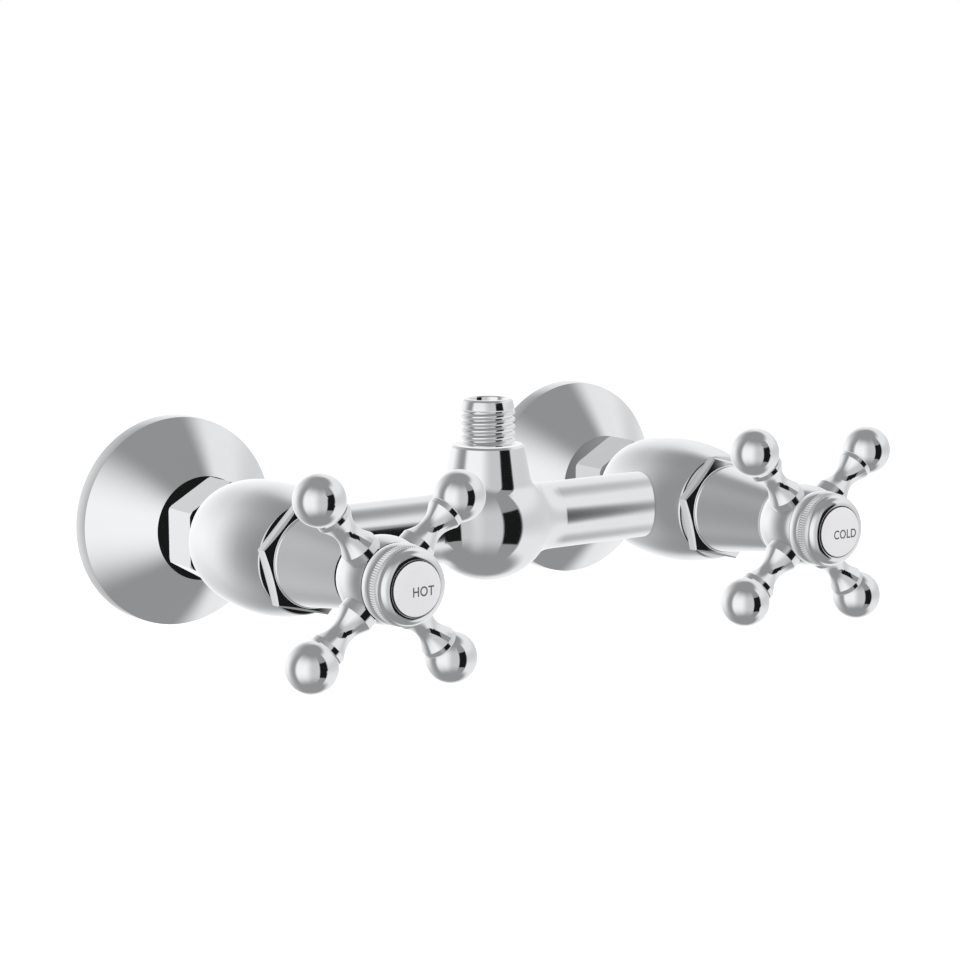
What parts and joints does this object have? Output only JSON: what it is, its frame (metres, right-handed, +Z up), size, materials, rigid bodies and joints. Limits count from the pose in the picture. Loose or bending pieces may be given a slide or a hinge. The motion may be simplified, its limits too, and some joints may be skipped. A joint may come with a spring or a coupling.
{
  "type": "shower mixer",
  "caption": "Exposed wall-mounted bridge shower mixer: cross-handle hot and cold valves on round wall flanges, joined by a tube to a middle outlet body with a threaded nipple on top.",
  "frame": {"origin": "on the wall plane, midway between the two inlet axes", "axes": "+X to the right along the wall as seen from the front, +Y into the wall, +Z up"},
  "size_m": [0.216, 0.1544, 0.0709],
  "materials": {
    "chrome": "polished chrome plate on brass",
    "brass": "turned brass, not plated",
    "steel": "plain stainless steel",
    "ceramic": "lapped alumina ceramic, opaque",
    "rubber": "black moulded rubber",
    "fibre": "pressed red fibre",
    "index_white": "white gloss disc with grey lettering"
  },
  "bodies": {
    "mixer_body": {"hot_wall_flange": "chrome", "hot_flange_o_ring": "rubber", "hot_inlet_leg": "chrome", "hot_union_nut": "chrome", "hot_union_washer": "fibre", "hot_inlet_tailpiece": "brass", "hot_valve_barrel": "chrome", "hot_headwork_body": "chrome", "hot_headwork_o_ring": "rubber", "hot_seat_seal": "rubber", "hot_fixed_disc": "ceramic", "hot_bonnet_sleeve": "chrome", "hot_bridge_tube": "chrome", "hot_bridge_o_rings": "rubber", "cold_wall_flange": "chrome", "cold_flange_o_ring": "rubber", "cold_inlet_leg": "chrome", "cold_union_nut": "chrome", "cold_union_washer": "fibre", "cold_inlet_tailpiece": "brass", "cold_valve_barrel": "chrome", "cold_headwork_body": "chrome", "cold_headwork_o_ring": "rubber", "cold_seat_seal": "rubber", "cold_fixed_disc": "ceramic", "cold_bonnet_sleeve": "chrome", "cold_bridge_tube": "chrome", "cold_bridge_o_rings": "rubber", "outlet_body": "chrome", "outlet_nipple": "chrome", "outlet_nipple_seal": "rubber"},
    "hot_handle": {"hot_cross_handle": "chrome", "hot_handle_screw": "steel", "hot_index_cap": "chrome", "hot_index_disc": "index_white", "hot_spindle": "brass", "hot_spindle_o_ring": "rubber", "hot_spindle_circlip": "steel", "hot_moving_disc": "ceramic"},
    "cold_handle": {"cold_cross_handle": "chrome", "cold_handle_screw": "steel", "cold_index_cap": "chrome", "cold_index_disc": "index_white", "cold_spindle": "brass", "cold_spindle_o_ring": "rubber", "cold_spindle_circlip": "steel", "cold_moving_disc": "ceramic"}
  },
  "joints": [
    {"name": "hot_handle_turn", "type": "hinge", "parent": "mixer_body", "child": "hot_handle", "pos_m": [-0.075, -0.12, 0], "axis": [0, -1, 0], "range_deg": [0, 90]},
    {"name": "cold_handle_turn", "type": "hinge", "parent": "mixer_body", "child": "cold_handle", "pos_m": [0.075, -0.12, 0], "axis": [0, -1, 0], "range_deg": [0, 90]}
  ]
}
